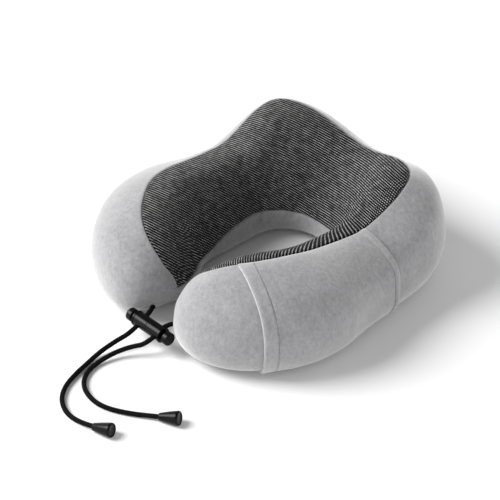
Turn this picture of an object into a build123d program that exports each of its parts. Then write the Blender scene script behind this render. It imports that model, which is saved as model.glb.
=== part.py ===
from build123d import *
import os
from math import asin, atan, cos, degrees, pi, radians, sin, tan

# U shaped neck pillow, in millimetres. +Z is up, the opening faces -Y, and the origin is on
# the floor under the middle of the pillow. The pillow is a ring of foam that follows a
# horseshoe path: a half circle at the back, two straight arms and two curled tips.

# ---------------------------------------------------------------- driving dimensions
ring_radius = 85.0  # of the path through the middle of the foam
arm_straight = 44.0  # straight stretch of each arm
arm_end = 298.0  # path length from the middle of the back to the end of a tip
dome_start = 240.0  # path length at which a tip starts to close
dome_power = 2.5  # roundness of a closed tip
dome_height = 0.4  # height that a tip closes towards, as a share of the pillow's height
sink = 1.0  # how deep the soft underside is pressed flat
shift_y = -2.4  # brings the middle of the outline to the origin

cover_thickness = 2.0  # velour or knit with its backing
liner_thickness = 0.8
layer_gap = 0.4  # between cloth layers, and between panels at a seam

# Shape of the cross section along the path. Each line holds the path length, the height, the
# outer half width, how far the crest leans outward and how far the inner slope is hollowed.
profile = [
    (0, 86, 40, 9, 0.0),
    (71, 110, 59, 9, 0.0),
    (124, 80, 41, -13, 2.0),
    (225, 92, 55, -9, 1.5),
    (arm_end, 85, 52, 5, 0.0),
]
inner_half_width = 43.0

# Where the cover's panels start and end round a cross section, as shares of the way round,
# and the number of flats across each: up the outside, down the inside, then underneath.
panel_runs = {
    "outer": (0.165, 0.48, 8),
    "mesh": (0.48, 0.755, 7),
    "inner": (0.755, 0.87, 3),
    "bottom": (0.87, 1.165, 7),
}
perimeter = 290.0  # of a typical cross section
tip_cut = 0.3  # flat left at the very end of a tip

# pocket on the outer side of the right arm
pocket_rear, pocket_front = 120.0, 240.0  # path lengths of its edges
pocket_margin = 1.2  # between its edges and the seams above and below it
hem_front_width = 12.5
hem_rear_width = 5.5
elastic_width = 9.0
pocket_gap = 0.3
pocket_thickness = 1.2
elastic_thickness = 0.6
hem_thickness = 1.0

# zip low on the back, on a gentle arc
zip_radius = 500.0  # to the front face of the tapes
zip_face_y = 140.0  # front face of the tapes, in the middle of the back
zip_z = 20.0
zip_half = 65.0
zip_window = 8.8  # height of the slit in the cover
tape_height = 5.0
tape_thickness = 0.6
coil_radius = 0.7
coil_gap = 0.9
stop_length = 2.4
stop_start = 60.0
slider_length = 9.0
slider_width = 7.0
slider_rest_x = -54.5
slider_clearance = 0.3
plate_thickness = 1.0
post_width = 0.5
post_length = 1.5
lip_width = 1.0
bar_radius = 0.65
knuckle_radius = 1.45
knuckle_width = 3.2
pull_length = 17.0
pull_width = 5.0
pull_thickness = 1.2
pull_hole_radius = 0.85

# barrel cord lock, lying across the gap between the tips
lock_centre = Vector(1, -144, 18.5)
lock_radius = 6.75
lock_half = 17.5
lock_bore = 5.0
lock_end_wall = 1.3
collar_radius = 7.3
collar_width = 1.7
spigot_radius = 5.7
spigot_length = 2.8
cord_hole_x = 11.0
cord_hole_radius = 2.6
cord_tilt = 25.0  # degrees that the cord holes slope down towards the front
button_radius = 4.9
button_start = 5.5
neck_radius = 3.5
knob_start, knob_end = 20.1, 26.5
knob_radius = 6.0
button_travel = 2.0
spring_half = 3.0
spring_radius = 3.1
spring_wire = 0.35
spring_turns = 4

# drawcords and their bells
cord_radius = 2.2
knot_radius = 3.2
anchor_knot_radius = 4.0
bell_small, bell_big = 3.6, 6.75
bell_length = 19.0
bell_bore = 2.5
bell_cavity_radius = 5.2
bell_cavity_depth = 7.6
plug_thickness = 1.4
plug_recess = 0.5
knot_from_mouth = 13.7  # from a bell's small end to the middle of the knot in it
bell_lead = 4.5  # straight cord outside a bell's small end
fit_gap = 0.1


# ---------------------------------------------------------------- shape of the ring
def eased(path_length, column):
    """A profile value between two stations, with no slope at either."""
    distance = abs(path_length)
    for near, far in zip(profile, profile[1:]):
        if distance <= far[0]:
            share = (distance - near[0]) / (far[0] - near[0])
            blend = (1 - cos(pi * share)) / 2
            return near[column] + (far[column] - near[column]) * blend
    return profile[-1][column]


def path_frame(path_length):
    """The path's point and outward direction. Positive lengths are on the +X arm."""
    side = 1 if path_length >= 0 else -1
    distance = abs(path_length)
    quarter = ring_radius * pi / 2
    half_straight = arm_straight / 2
    if distance < quarter:
        turn, centre_y = distance / ring_radius, half_straight
    elif distance < quarter + arm_straight:
        turn, centre_y = pi / 2, half_straight - (distance - quarter)
    else:
        turn = pi / 2 + (distance - quarter - arm_straight) / ring_radius
        centre_y = -half_straight
    outward = Vector(side * sin(turn), cos(turn), 0)
    return Vector(0, centre_y + shift_y, 0) + outward * ring_radius, outward


def upright_plane(origin, outward):
    """A vertical plane whose x runs outward and whose y runs up."""
    return Plane(origin=origin, x_dir=outward, z_dir=outward.cross(Vector(0, 0, 1)))


def section_corners(path_length):
    """Corners of the polygon that the rounded cross section is drawn inside."""
    height, outer, crest, hollow = (eased(path_length, column) for column in (1, 2, 3, 4))
    inner = inner_half_width
    crest_run = inner + crest
    return [
        (-0.10 * inner, 0),
        (0.55 * outer, 0),
        (0.98 * outer, 0.10 * height),
        (1.07 * outer, 0.45 * height),
        (0.92 * outer, 0.88 * height),
        (crest, 1.10 * height),
        (crest - 0.48 * crest_run, 0.86 * height + hollow),
        (-0.80 * inner, 0.47 * height + hollow),
        (-1.08 * inner, 0.20 * height),
        (-0.80 * inner, 0),
    ]


def rounded_point(corners, place):
    """A point of the closed cubic B-spline that the corners control. Places run from 0 to 1."""
    step = (place % 1) * len(corners)
    first = int(step)
    f = step - first
    weights = (
        (1 - f) ** 3 / 6,
        (3 * f**3 - 6 * f**2 + 4) / 6,
        (-3 * f**3 + 3 * f**2 + 3 * f + 1) / 6,
        f**3 / 6,
    )
    near = [corners[(first + offset) % len(corners)] for offset in (-1, 0, 1, 2)]
    return Vector(*(sum(w * p[axis] for w, p in zip(weights, near)) for axis in (0, 1)))


def dome_scale(path_length, inset):
    """How far a section has shrunk at this place on a rounded tip."""
    share = (abs(path_length) - dome_start) / (arm_end - inset - dome_start)
    return (1 - max(share, 0) ** dome_power) ** (1 / dome_power)


def outline_point(path_length, place, inset):
    """A point of a cross section, moved in from the pillow's surface by the inset."""
    corners = section_corners(path_length)
    point = rounded_point(corners, place)
    along = rounded_point(corners, place + 0.02) - rounded_point(corners, place - 0.02)
    inward = Vector(-along.Y, along.X).normalized()
    middle = Vector(
        (eased(path_length, 2) - inner_half_width) / 2, dome_height * eased(path_length, 1)
    )
    moved = middle + (point + inward * inset - middle) * dome_scale(path_length, inset)
    return moved.X, moved.Y - sink


def even_places(start, end, count):
    return [start + (end - start) * step / count for step in range(count + 1)]


def ring_places(first, last):
    """Path lengths of the sections between two ends."""
    half = [18, 36, 54, 71, 88, 106, 120, 132, 150, 168, 186, 204, 218, 230]
    half += [240, 254, 266, 276, 284, 290]
    places = [-place for place in reversed(half)] + [0] + half
    return [first] + [place for place in places if first + 1 < place < last - 1] + [last]


def ring_loft(first, last, outline):
    """A solid through the flat outlines that the function gives along the path."""
    with BuildPart() as solid:
        for place in ring_places(first, last):
            with BuildSketch(upright_plane(*path_frame(place))):
                with BuildLine():
                    Polyline(*outline(place), close=True)
                make_face()
        loft(ruled=True)
    return solid.part


def ring_layer(inset):
    """The whole pillow, moved in by the inset."""
    places = [place for run in panel_runs.values() for place in even_places(*run)[:-1]]
    end = arm_end - inset - tip_cut
    return ring_loft(
        -end, end, lambda length: [outline_point(length, place, inset) for place in places]
    )


def cloth_strip(panel, outside, thickness, first, last, gap=None):
    """A strip of cloth along the ring, between two seams."""
    start, end, count = panel_runs[panel]
    margin = layer_gap / 2 if gap is None else gap

    def outline(length):
        around = perimeter * dome_scale(length, outside)
        trim = min(margin / around, (end - start) / 4)
        places = [start + trim] + even_places(start, end, count)[1:-1] + [end - trim]
        outer = [outline_point(length, place, outside) for place in places]
        inner = [outline_point(length, place, outside + thickness) for place in places]
        return outer + inner[::-1]

    return ring_loft(first, last, outline)


# ---------------------------------------------------------------- zip and cord helpers
zip_centre = Vector(0, zip_face_y - zip_radius, 0)
zip_axis = Axis(zip_centre, (0, 0, -1))


def zip_plane(x):
    """The upright plane across the zip at this x, its own x measured from the arc's centre."""
    turn = asin(x / zip_radius)
    return upright_plane(zip_centre, Vector(sin(turn), cos(turn), 0))


def zip_arc(length):
    return degrees(length / zip_radius)


def zip_block(start_x, length, depths, heights):
    """A block that follows the zip's arc. Depths are outward from the front of the tapes."""
    middle_depth = zip_radius + sum(depths) / 2
    middle_z = zip_z + sum(heights) / 2
    with BuildPart() as block:
        with BuildSketch(zip_plane(start_x)):
            with Locations((middle_depth, middle_z)):
                Rectangle(depths[1] - depths[0], heights[1] - heights[0])
        revolve(axis=zip_axis, revolution_arc=zip_arc(length))
    return block.part


cord_direction = Vector(0, -cos(radians(cord_tilt)), -sin(radians(cord_tilt)))
bell_tilt = atan((bell_big - bell_small) / bell_length)
entry_run, exit_run = 16.8, 14.2  # from the lock's axis to the corners of the cord's route


def bell_axis(heading):
    """Direction of a bell that lies on the floor, from its small end to its mouth."""
    flat = Vector(cos(radians(heading)), sin(radians(heading)), 0)
    return flat * cos(bell_tilt) + Vector(0, 0, sin(bell_tilt))


def through_lock(side):
    """The two corners of a cord's route on either side of the lock."""
    hole = lock_centre + Vector(side * cord_hole_x, 0, 0)
    return [hole - cord_direction * entry_run, hole + cord_direction * exit_run]


bell_places = {
    "left": (Vector(56.4, -258.0, bell_small * cos(bell_tilt)), 19.0),
    "right": (Vector(85.0, -208.5, bell_small * cos(bell_tilt)), 27.4),
}


def into_bell(name):
    """The last two points of a cord's route: before the bell and in its knot."""
    mouth, heading = bell_places[name]
    axis = bell_axis(heading)
    return [mouth - axis * bell_lead, mouth + axis * knot_from_mouth]


cord_routes = {
    "left": [
        Vector(-29, -116, 19),
        *through_lock(-1),
        (-14, -171, 8.5),
        (-16.5, -187, 4),
        (-14, -203, cord_radius),
        (-9.5, -221.5, cord_radius),
        (-2.5, -240.5, cord_radius),
        (10.5, -255.5, cord_radius),
        (30, -263.5, cord_radius),
        *into_bell("left"),
    ],
    "right": [
        Vector(29, -116, 19),
        *through_lock(1),
        (1.5, -167.5, 9),
        (-5.5, -181, 5.5),
        (-8, -197, 2.6),
        (-5, -212.5, cord_radius),
        (4.5, -225.5, cord_radius),
        (20, -233.5, cord_radius),
        (40, -234.5, cord_radius),
        (62, -224, cord_radius),
        *into_bell("right"),
    ],
}


def corner_radii(route):
    """The largest arc that each corner of a route has room for."""
    points = [Vector(*point) for point in route]
    radii = []
    for before, corner, after in zip(points, points[1:], points[2:]):
        half_turn = radians((corner - before).get_angle(after - corner)) / 2
        shorter = min((corner - before).length, (after - corner).length)
        radii.append(0.45 * shorter / tan(half_turn))
    return radii


def anchor_hole(side, knot_clearance, cord_clearance):
    """The space that a cord and its inner knot take up in a tip."""
    route = cord_routes["right" if side > 0 else "left"]
    start, corner = route[0], route[1]
    with BuildPart() as hole:
        with Locations(start):
            Sphere(anchor_knot_radius + knot_clearance)
        with BuildSketch(Plane(origin=start, z_dir=corner - start)):
            Circle(cord_radius + cord_clearance)
        extrude(amount=(corner - start).length)
    return hole.part


def save(piece, name):
    piece.part.label = name
    export_step(piece.part, f"parts/{name}.step")


os.makedirs("parts", exist_ok=True)

# ---------------------------------------------------------------- cover, liner and foam
liner_inset = cover_thickness + layer_gap
foam_inset = liner_inset + liner_thickness + layer_gap
cover_end = arm_end - cover_thickness - tip_cut - 0.05

slit = zip_block(-zip_half, 2 * zip_half, (-8, 12), (-zip_window / 2, zip_window / 2))
tape_reach = coil_gap / 2 + tape_height
tape_space = zip_block(
    -zip_half - 1, 2 * zip_half + 2, (-8, layer_gap), (-tape_reach - 0.5, tape_reach + 0.5)
)
zip_recess = zip_block(
    -zip_half - 2, 2 * zip_half + 4, (-3.6, 12), (-tape_reach - 1, tape_reach + 1)
)

for name in ("mesh", "inner"):
    with BuildPart() as panel:
        add(cloth_strip(name, 0, cover_thickness, -cover_end + layer_gap, cover_end - layer_gap))
    save(panel, f"{name}_panel")

with BuildPart() as bottom_panel:
    add(cloth_strip("bottom", 0, cover_thickness, -cover_end + layer_gap, cover_end - layer_gap))
    with Locations((0, 0, -10)):
        Box(400, 400, 20, mode=Mode.SUBTRACT)
    for side in (-1, 1):
        add(anchor_hole(side, 0.3, 0.3), mode=Mode.SUBTRACT)
save(bottom_panel, "bottom_panel")

with BuildPart() as outer_panel:
    add(cloth_strip("outer", 0, cover_thickness, -cover_end, cover_end))
    for side in (-1, 1):
        ends = sorted((side * cover_end, side * (arm_end - tip_cut)))
        around = [place for run in panel_runs.values() for place in even_places(*run)[:-1]]
        add(ring_loft(*ends, lambda length: [outline_point(length, p, 0) for p in around]))
        add(anchor_hole(side, 0.3, 0.3), mode=Mode.SUBTRACT)
    add(slit, mode=Mode.SUBTRACT)
    add(tape_space, mode=Mode.SUBTRACT)
save(outer_panel, "outer_panel")

with BuildPart() as core_liner:
    add(ring_layer(liner_inset))
    add(ring_layer(liner_inset + liner_thickness), mode=Mode.SUBTRACT)
    add(zip_recess, mode=Mode.SUBTRACT)
    for side in (-1, 1):
        add(anchor_hole(side, 0.4, 0.6), mode=Mode.SUBTRACT)
save(core_liner, "core_liner")

with BuildPart() as foam_core:
    add(ring_layer(foam_inset))
    add(zip_recess, mode=Mode.SUBTRACT)
    for side in (-1, 1):
        add(anchor_hole(side, 0.4, 0.6), mode=Mode.SUBTRACT)
save(foam_core, "foam_core")

# ---------------------------------------------------------------- pocket
elastic_depth = pocket_gap + pocket_thickness + 0.2
hem_depth = elastic_depth + elastic_thickness + 0.2
pocket_pieces = {
    "pocket_panel": (pocket_gap, pocket_thickness, pocket_rear, pocket_front),
    "pocket_elastic": (
        elastic_depth,
        elastic_thickness,
        pocket_front - elastic_width,
        pocket_front,
    ),
    "pocket_hem_front": (
        hem_depth,
        hem_thickness,
        pocket_front - hem_front_width,
        pocket_front,
    ),
    "pocket_hem_rear": (
        elastic_depth + 0.3,
        hem_thickness,
        pocket_rear,
        pocket_rear + hem_rear_width,
    ),
}
for name, (depth, thickness, first, last) in pocket_pieces.items():
    with BuildPart() as pocket_piece:
        add(cloth_strip("outer", -depth - thickness, thickness, first, last, pocket_margin))
    save(pocket_piece, name)

# ---------------------------------------------------------------- zip
for name, side in (("upper", 1), ("lower", -1)):
    heights = sorted((side * coil_gap / 2, side * tape_reach))
    with BuildPart() as zipper_tape:
        add(zip_block(-zip_half, 2 * zip_half, (-tape_thickness, 0), heights))
    save(zipper_tape, f"zipper_tape_{name}")

    coil_start = stop_start - 0.1
    with BuildPart() as zipper_coil:
        with BuildSketch(zip_plane(-coil_start)):
            with Locations(
                (
                    zip_radius + coil_radius + 0.05,
                    zip_z + side * (coil_gap / 2 + coil_radius),
                )
            ):
                Circle(coil_radius)
        revolve(axis=zip_axis, revolution_arc=zip_arc(2 * coil_start))
    save(zipper_coil, f"zipper_coil_{name}")

for name, start in (("left", -stop_start - stop_length), ("right", stop_start)):
    with BuildPart() as zipper_stop:
        add(zip_block(start, stop_length, (0.05, 2.0), (-2.4, 2.4)))
    save(zipper_stop, f"zipper_stop_{name}")

slider_start = slider_rest_x - slider_length / 2
half_width = slider_width / 2
chain_top = 2 * coil_radius + 0.05
front_plate = (chain_top + slider_clearance, chain_top + slider_clearance + plate_thickness)
back_plate = (
    -tape_thickness - slider_clearance - plate_thickness,
    -tape_thickness - slider_clearance,
)
bar_depth = front_plate[1] + knuckle_radius + 0.25
bar_point = zip_plane(slider_rest_x).from_local_coords(Vector(zip_radius + bar_depth, zip_z, 0))
leg_inside = knuckle_width / 2 + 0.25

with BuildPart() as zipper_slider:
    add(zip_block(slider_start, slider_length, front_plate, (-half_width, half_width)))
    add(zip_block(slider_start, slider_length, back_plate, (-half_width, half_width)))
    add(
        zip_block(
            slider_start,
            post_length,
            (back_plate[1] - 0.2, front_plate[0] + 0.2),
            (-post_width / 2, post_width / 2),
        )
    )
    for side in (-1, 1):
        lip = sorted((side * half_width, side * (half_width - lip_width)))
        add(zip_block(slider_start, slider_length, (0.4, front_plate[0] + 0.2), lip))
        leg = sorted((side * leg_inside, side * half_width))
        leg_depths = (front_plate[1] - 0.2, bar_depth + bar_radius)
        add(zip_block(slider_rest_x - 1.4, 2.8, leg_depths, leg))
    with BuildSketch(Plane.XY.offset(zip_z - leg_inside - 0.2)):
        with Locations((bar_point.X, bar_point.Y)):
            Circle(bar_radius)
    extrude(amount=2 * (leg_inside + 0.2))
save(zipper_slider, "zipper_slider")

pull_start = knuckle_radius - 0.3
with BuildPart() as zipper_pull:
    with BuildSketch(Plane.XY.offset(zip_z - knuckle_width / 2)):
        with Locations((bar_point.X, bar_point.Y)):
            Circle(knuckle_radius)
    extrude(amount=knuckle_width)
    out = zip_plane(slider_rest_x).x_dir
    tab_origin = bar_point - out * pull_thickness / 2
    tab_plane = Plane(origin=tab_origin, x_dir=(out.Y, -out.X, 0), z_dir=out)
    with BuildSketch(tab_plane):
        with Locations((pull_start + 1.5, 0)):
            Rectangle(3.0, knuckle_width)
        with Locations((pull_length / 2 + 1.5, 0)):
            SlotOverall(pull_length - 3.0, pull_width)
        with Locations((pull_length - 2.0, 0)):
            Circle(1.2, mode=Mode.SUBTRACT)
    extrude(amount=pull_thickness)
    with Locations((bar_point.X, bar_point.Y, zip_z)):
        Cylinder(pull_hole_radius, pull_width + 2, mode=Mode.SUBTRACT)
save(zipper_pull, "zipper_pull")


# ---------------------------------------------------------------- cord lock
def lock_plane(x):
    """A plane across the lock's axis, at this distance from the lock's middle."""
    return Plane(origin=lock_centre + Vector(x, 0, 0), x_dir=(0, 1, 0), z_dir=(1, 0, 0))


def barrel(radius, near, far):
    """A cylinder on the lock's axis between two distances from its middle."""
    low, high = sorted((near, far))
    with BuildPart() as body:
        with BuildSketch(lock_plane(low)):
            Circle(radius)
        extrude(amount=high - low)
    return body.part


def cord_slot(side, near, far):
    """A slot along the cord's direction, right through the lock."""
    middle = lock_centre + Vector(side * (near + far) / 2, 0, 0)
    plane = Plane(origin=middle, x_dir=(1, 0, 0), z_dir=cord_direction)
    with BuildPart() as slot:
        with BuildSketch(plane):
            if far - near > 2 * cord_hole_radius:
                SlotOverall(far - near, 2 * cord_hole_radius)
            else:
                Circle(cord_hole_radius)
        extrude(amount=2 * lock_radius, both=True)
    return slot.part


hole_sides = (cord_hole_x - cord_hole_radius, cord_hole_x + cord_hole_radius)
for name, side in (("left", -1), ("right", 1)):
    with BuildPart() as lock_housing:
        add(barrel(lock_radius, 0, side * lock_half))
        add(barrel(collar_radius, side * (lock_half - collar_width), side * lock_half))
        rims = lock_housing.edges().filter_by(GeomType.CIRCLE).group_by(Axis.X)
        chamfer(rims[0] + rims[-1], 0.35)
        if name == "right":
            add(barrel(spigot_radius, -spigot_length, 1))
        add(
            barrel(lock_bore, -side * lock_half, side * (lock_half - lock_end_wall)),
            mode=Mode.SUBTRACT,
        )
        add(barrel(neck_radius + fit_gap, 0, side * (lock_half + 1)), mode=Mode.SUBTRACT)
        if name == "left":
            add(
                barrel(spigot_radius + fit_gap, -spigot_length - fit_gap, 1),
                mode=Mode.SUBTRACT,
            )
        add(cord_slot(side, *hole_sides), mode=Mode.SUBTRACT)
    save(lock_housing, f"lock_housing_{name}")

    stem_end = lock_half - lock_end_wall - fit_gap
    slot_near = cord_hole_x - cord_radius - 0.3
    slot_far = cord_hole_x + cord_radius + 0.3 + button_travel
    with BuildPart() as lock_button:
        add(barrel(knob_radius, side * knob_start, side * knob_end))
        fillet(lock_button.edges().filter_by(GeomType.CIRCLE), 1.2)
        add(barrel(neck_radius, side * (stem_end - 1), side * (knob_start + 1)))
        add(barrel(button_radius, side * button_start, side * stem_end))
        add(cord_slot(side, slot_near, slot_far), mode=Mode.SUBTRACT)
    save(lock_button, f"lock_button_{name}")

spring_foot = lock_centre - Vector(spring_half, 0, 0)
spring_pitch = 2 * spring_half / spring_turns
with BuildPart() as lock_spring:
    with BuildLine() as coil:
        Helix(spring_pitch, 2 * spring_half, spring_radius, spring_foot, (1, 0, 0))
    with BuildSketch(Plane(origin=coil.line @ 0, z_dir=coil.line % 0)):
        Circle(spring_wire)
    sweep(is_frenet=True)
save(lock_spring, "lock_spring")

# ---------------------------------------------------------------- drawcords and bells
for name, route in cord_routes.items():
    radii = corner_radii(route)
    with BuildPart() as drawcord:
        with BuildLine() as path:
            FilletPolyline(*route, radius=radii)
        with BuildSketch(Plane(origin=path.line @ 0, z_dir=path.line % 0)):
            Circle(cord_radius)
        sweep()
        swept = drawcord.part.volume
        with Locations(path.line @ 0):
            Sphere(anchor_knot_radius)
        with Locations(path.line @ 1):
            Sphere(knot_radius)
    length = path.wires()[0].length
    print(name, "cord length", round(length, 1))
    print("  radii", [round(radius, 1) for radius in radii])
    print("  volume ratio", round(swept / (pi * cord_radius**2 * length), 4))
    save(drawcord, f"drawcord_{name}")

for name, (mouth, heading) in bell_places.items():
    axis = bell_axis(heading)
    with BuildPart() as cord_bell:
        with BuildSketch(Plane(origin=mouth, z_dir=axis)):
            Circle(bell_small)
        with BuildSketch(Plane(origin=mouth + axis * bell_length, z_dir=axis)):
            Circle(bell_big)
        loft()
        fillet(cord_bell.edges().filter_by(GeomType.CIRCLE), 0.8)
        with BuildSketch(Plane(origin=mouth + axis * bell_length, z_dir=axis)):
            Circle(bell_cavity_radius)
        extrude(amount=-bell_cavity_depth, mode=Mode.SUBTRACT)
        with BuildSketch(Plane(origin=mouth, z_dir=axis)):
            Circle(bell_bore)
        extrude(amount=bell_length, mode=Mode.SUBTRACT)
    save(cord_bell, f"cord_bell_{name}")

    with BuildPart() as bell_plug:
        plug_face = mouth + axis * (bell_length - plug_recess)
        with BuildSketch(Plane(origin=plug_face, z_dir=axis)):
            Circle(bell_cavity_radius - 0.05)
        extrude(amount=-plug_thickness)
    save(bell_plug, f"bell_plug_{name}")
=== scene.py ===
import math

import bpy
import numpy as np
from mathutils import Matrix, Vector


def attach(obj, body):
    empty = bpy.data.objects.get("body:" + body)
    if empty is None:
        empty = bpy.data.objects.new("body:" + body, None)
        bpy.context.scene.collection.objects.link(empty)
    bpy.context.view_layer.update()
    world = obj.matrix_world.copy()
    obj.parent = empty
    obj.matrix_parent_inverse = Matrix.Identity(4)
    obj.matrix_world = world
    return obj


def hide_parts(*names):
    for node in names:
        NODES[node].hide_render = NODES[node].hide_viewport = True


# U shaped neck pillow. Shapes are worked out in millimetres, and objects are in metres.
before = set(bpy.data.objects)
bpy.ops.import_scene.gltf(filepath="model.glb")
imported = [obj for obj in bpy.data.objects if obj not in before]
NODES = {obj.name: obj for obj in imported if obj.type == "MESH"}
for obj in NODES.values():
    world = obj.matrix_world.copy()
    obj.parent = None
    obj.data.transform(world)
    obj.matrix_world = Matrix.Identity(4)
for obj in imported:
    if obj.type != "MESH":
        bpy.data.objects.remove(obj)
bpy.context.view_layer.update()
MM = 0.001


# ---------------------------------------------------------------- helpers
def link(obj):
    bpy.context.scene.collection.objects.link(obj)
    return obj


def mesh_object(name, points, faces, material, uv=None):
    """A smooth mesh from points in millimetres. uv holds one pair for each point."""
    mesh = bpy.data.meshes.new(name)
    points = np.asarray(points, float).reshape(-1, 3) * MM
    mesh.from_pydata(points.tolist(), [], [tuple(f) for f in faces])
    if uv is not None:
        layer = mesh.uv_layers.new(name="cloth")
        loops = np.zeros(len(mesh.loops), np.int32)
        mesh.loops.foreach_get("vertex_index", loops)
        layer.data.foreach_set("uv", np.asarray(uv, np.float32).reshape(-1, 2)[loops].ravel())
    mesh.validate()
    mesh.polygons.foreach_set("use_smooth", [True] * len(mesh.polygons))
    mesh.update()
    obj = link(bpy.data.objects.new(name, mesh))
    obj.data.materials.append(material)
    return obj


def grid_faces(rows, columns, start=0):
    """Quads over a grid of points stored row by row, the first of which is point start."""
    faces = []
    for row in range(rows - 1):
        near = start + row * columns
        far = near + columns
        for c in range(columns - 1):
            faces.append((near + c, near + c + 1, far + c + 1, far + c))
    return faces


def tube_faces(rings, around, start=0):
    """Quads round a closed tube of rings, and a cap at each end."""
    faces = []
    for ring in range(rings - 1):
        near = start + ring * around
        far = near + around
        for c in range(around):
            d = (c + 1) % around
            faces.append((near + c, near + d, far + d, far + c))
    faces.append(tuple(start + k for k in reversed(range(around))))
    faces.append(tuple(start + (rings - 1) * around + k for k in range(around)))
    return faces


def circle(side, up, around):
    """Unit rings in the planes of the given side and up vectors."""
    turn = np.linspace(0, 2 * np.pi, around, endpoint=False)
    return side[:, None] * np.cos(turn)[None, :, None] + up[:, None] * np.sin(turn)[None, :, None]


THREAD_SIDES = 6
THREAD_END = 0.35  # a thread's radius at its ends, as a share of the rest


def tubes(name, paths, radius, material):
    """Thin round threads along lists of points, as one mesh."""
    points, faces = [], []
    for path in paths:
        path = np.asarray(path, float)
        along = np.gradient(path, axis=0)
        along /= np.linalg.norm(along, axis=1)[:, None]
        side = np.cross(along, (0.31, 0.22, 0.93))
        side /= np.linalg.norm(side, axis=1)[:, None]
        up = np.cross(along, side)
        n = len(path)
        size = np.full(n, float(radius))
        size[0] = size[-1] = radius * THREAD_END
        ring = circle(side, up, THREAD_SIDES)
        faces += tube_faces(n, THREAD_SIDES, len(points))
        points += (path[:, None] + ring * size[:, None, None]).reshape(-1, 3).tolist()
    return mesh_object(name, points, faces, material)


def lathe(name, origin, axis, outline, material, around=48):
    """A turned piece. The outline is a list of (distance along the axis, radius)."""
    axis = Vector(axis).normalized()
    side = axis.orthogonal().normalized()
    up = axis.cross(side)
    points = []
    for along, radius in outline:
        for k in range(around):
            turn = 2 * math.pi * k / around
            ring = side * math.cos(turn) + up * math.sin(turn)
            points.append(tuple(Vector(origin) + axis * along + ring * radius))
    return mesh_object(name, points, tube_faces(len(outline), around), material)


SHARP_ANGLE = math.radians(50)


def sharpen_edges(obj):
    """Smooth shading with edges kept sharp above an angle."""
    mesh = obj.data
    normals = np.zeros(len(mesh.polygons) * 3, np.float32)
    mesh.polygons.foreach_get("normal", normals)
    normals = normals.reshape(-1, 3)
    loops_edge = np.zeros(len(mesh.loops), np.int32)
    mesh.loops.foreach_get("edge_index", loops_edge)
    owner = np.zeros(len(mesh.loops), np.int32)
    for p in mesh.polygons:
        owner[p.loop_start : p.loop_start + p.loop_total] = p.index
    first = np.full(len(mesh.edges), -1)
    sharp = np.zeros(len(mesh.edges), bool)
    limit = math.cos(SHARP_ANGLE)
    for edge, face in zip(loops_edge, owner):
        if first[edge] < 0:
            first[edge] = face
        elif normals[first[edge]] @ normals[face] < limit:
            sharp[edge] = True
    mesh.edges.foreach_set("use_edge_sharp", sharp)
    mesh.update()


# ---------------------------------------------------------------- materials
def new_material(name, **settings):
    """A material and its Principled shader with the given socket values."""
    mat = bpy.data.materials.new(name)
    mat.use_nodes = True
    shader = mat.node_tree.nodes["Principled BSDF"]
    for key, value in settings.items():
        shader.inputs[key.replace("_", " ")].default_value = value
    return mat, mat.node_tree, shader


def math_node(tree, operation, a, b=None, clamp=False):
    """A Math node's output. a and b are numbers or other nodes' outputs."""
    made = tree.nodes.new("ShaderNodeMath")
    made.operation = operation
    made.use_clamp = clamp
    for index, value in ((0, a), (1, b)):
        if value is None:
            continue
        if isinstance(value, (int, float)):
            made.inputs[index].default_value = value
        else:
            tree.links.new(value, made.inputs[index])
    return made.outputs[0]


def plus(tree, a, b):
    return math_node(tree, "ADD", a, b)


def times(tree, a, b):
    return math_node(tree, "MULTIPLY", a, b)


def swell(tree, value):
    """A smooth rise from 0 at whole numbers to 1 halfway between them."""
    centred = math_node(tree, "SUBTRACT", math_node(tree, "FRACT", value), 0.5)
    return times(tree, plus(tree, math_node(tree, "COSINE", times(tree, centred, 2 * math.pi)), 1.0), 0.5)


def noise(tree, scale, detail, rough, stretch=(1, 1, 1)):
    """Noise over the object's own coordinates, scale in waves per metre."""
    where = tree.nodes.new("ShaderNodeTexCoord")
    mapping = tree.nodes.new("ShaderNodeMapping")
    mapping.inputs["Scale"].default_value = stretch
    tree.links.new(where.outputs["Object"], mapping.inputs["Vector"])
    made = tree.nodes.new("ShaderNodeTexNoise")
    made.inputs["Scale"].default_value = scale
    made.inputs["Detail"].default_value = detail
    made.inputs["Roughness"].default_value = rough
    tree.links.new(mapping.outputs[0], made.inputs["Vector"])
    return made.outputs["Fac"]


def ramp(tree, value, stops):
    """Colours along a value, from (place, colour) pairs."""
    made = tree.nodes.new("ShaderNodeValToRGB")
    elements = made.color_ramp.elements
    while len(elements) < len(stops):
        elements.new(0.5)
    for element, (place, colour) in zip(elements, stops):
        element.position = place
        element.color = colour
    tree.links.new(value, made.inputs[0])
    return made.outputs["Color"]


def bump(tree, height, distance, strength=1.0, before=None):
    made = tree.nodes.new("ShaderNodeBump")
    made.inputs["Distance"].default_value = distance
    made.inputs["Strength"].default_value = strength
    tree.links.new(height, made.inputs["Height"])
    if before is not None:
        tree.links.new(before, made.inputs["Normal"])
    return made.outputs["Normal"]


def paint_by(tree, shader, value, stops):
    tree.links.new(ramp(tree, value, stops), shader.inputs["Base Color"])


def grey(value, tint=(1, 1, 1)):
    return (value * tint[0], value * tint[1], value * tint[2], 1)


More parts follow.
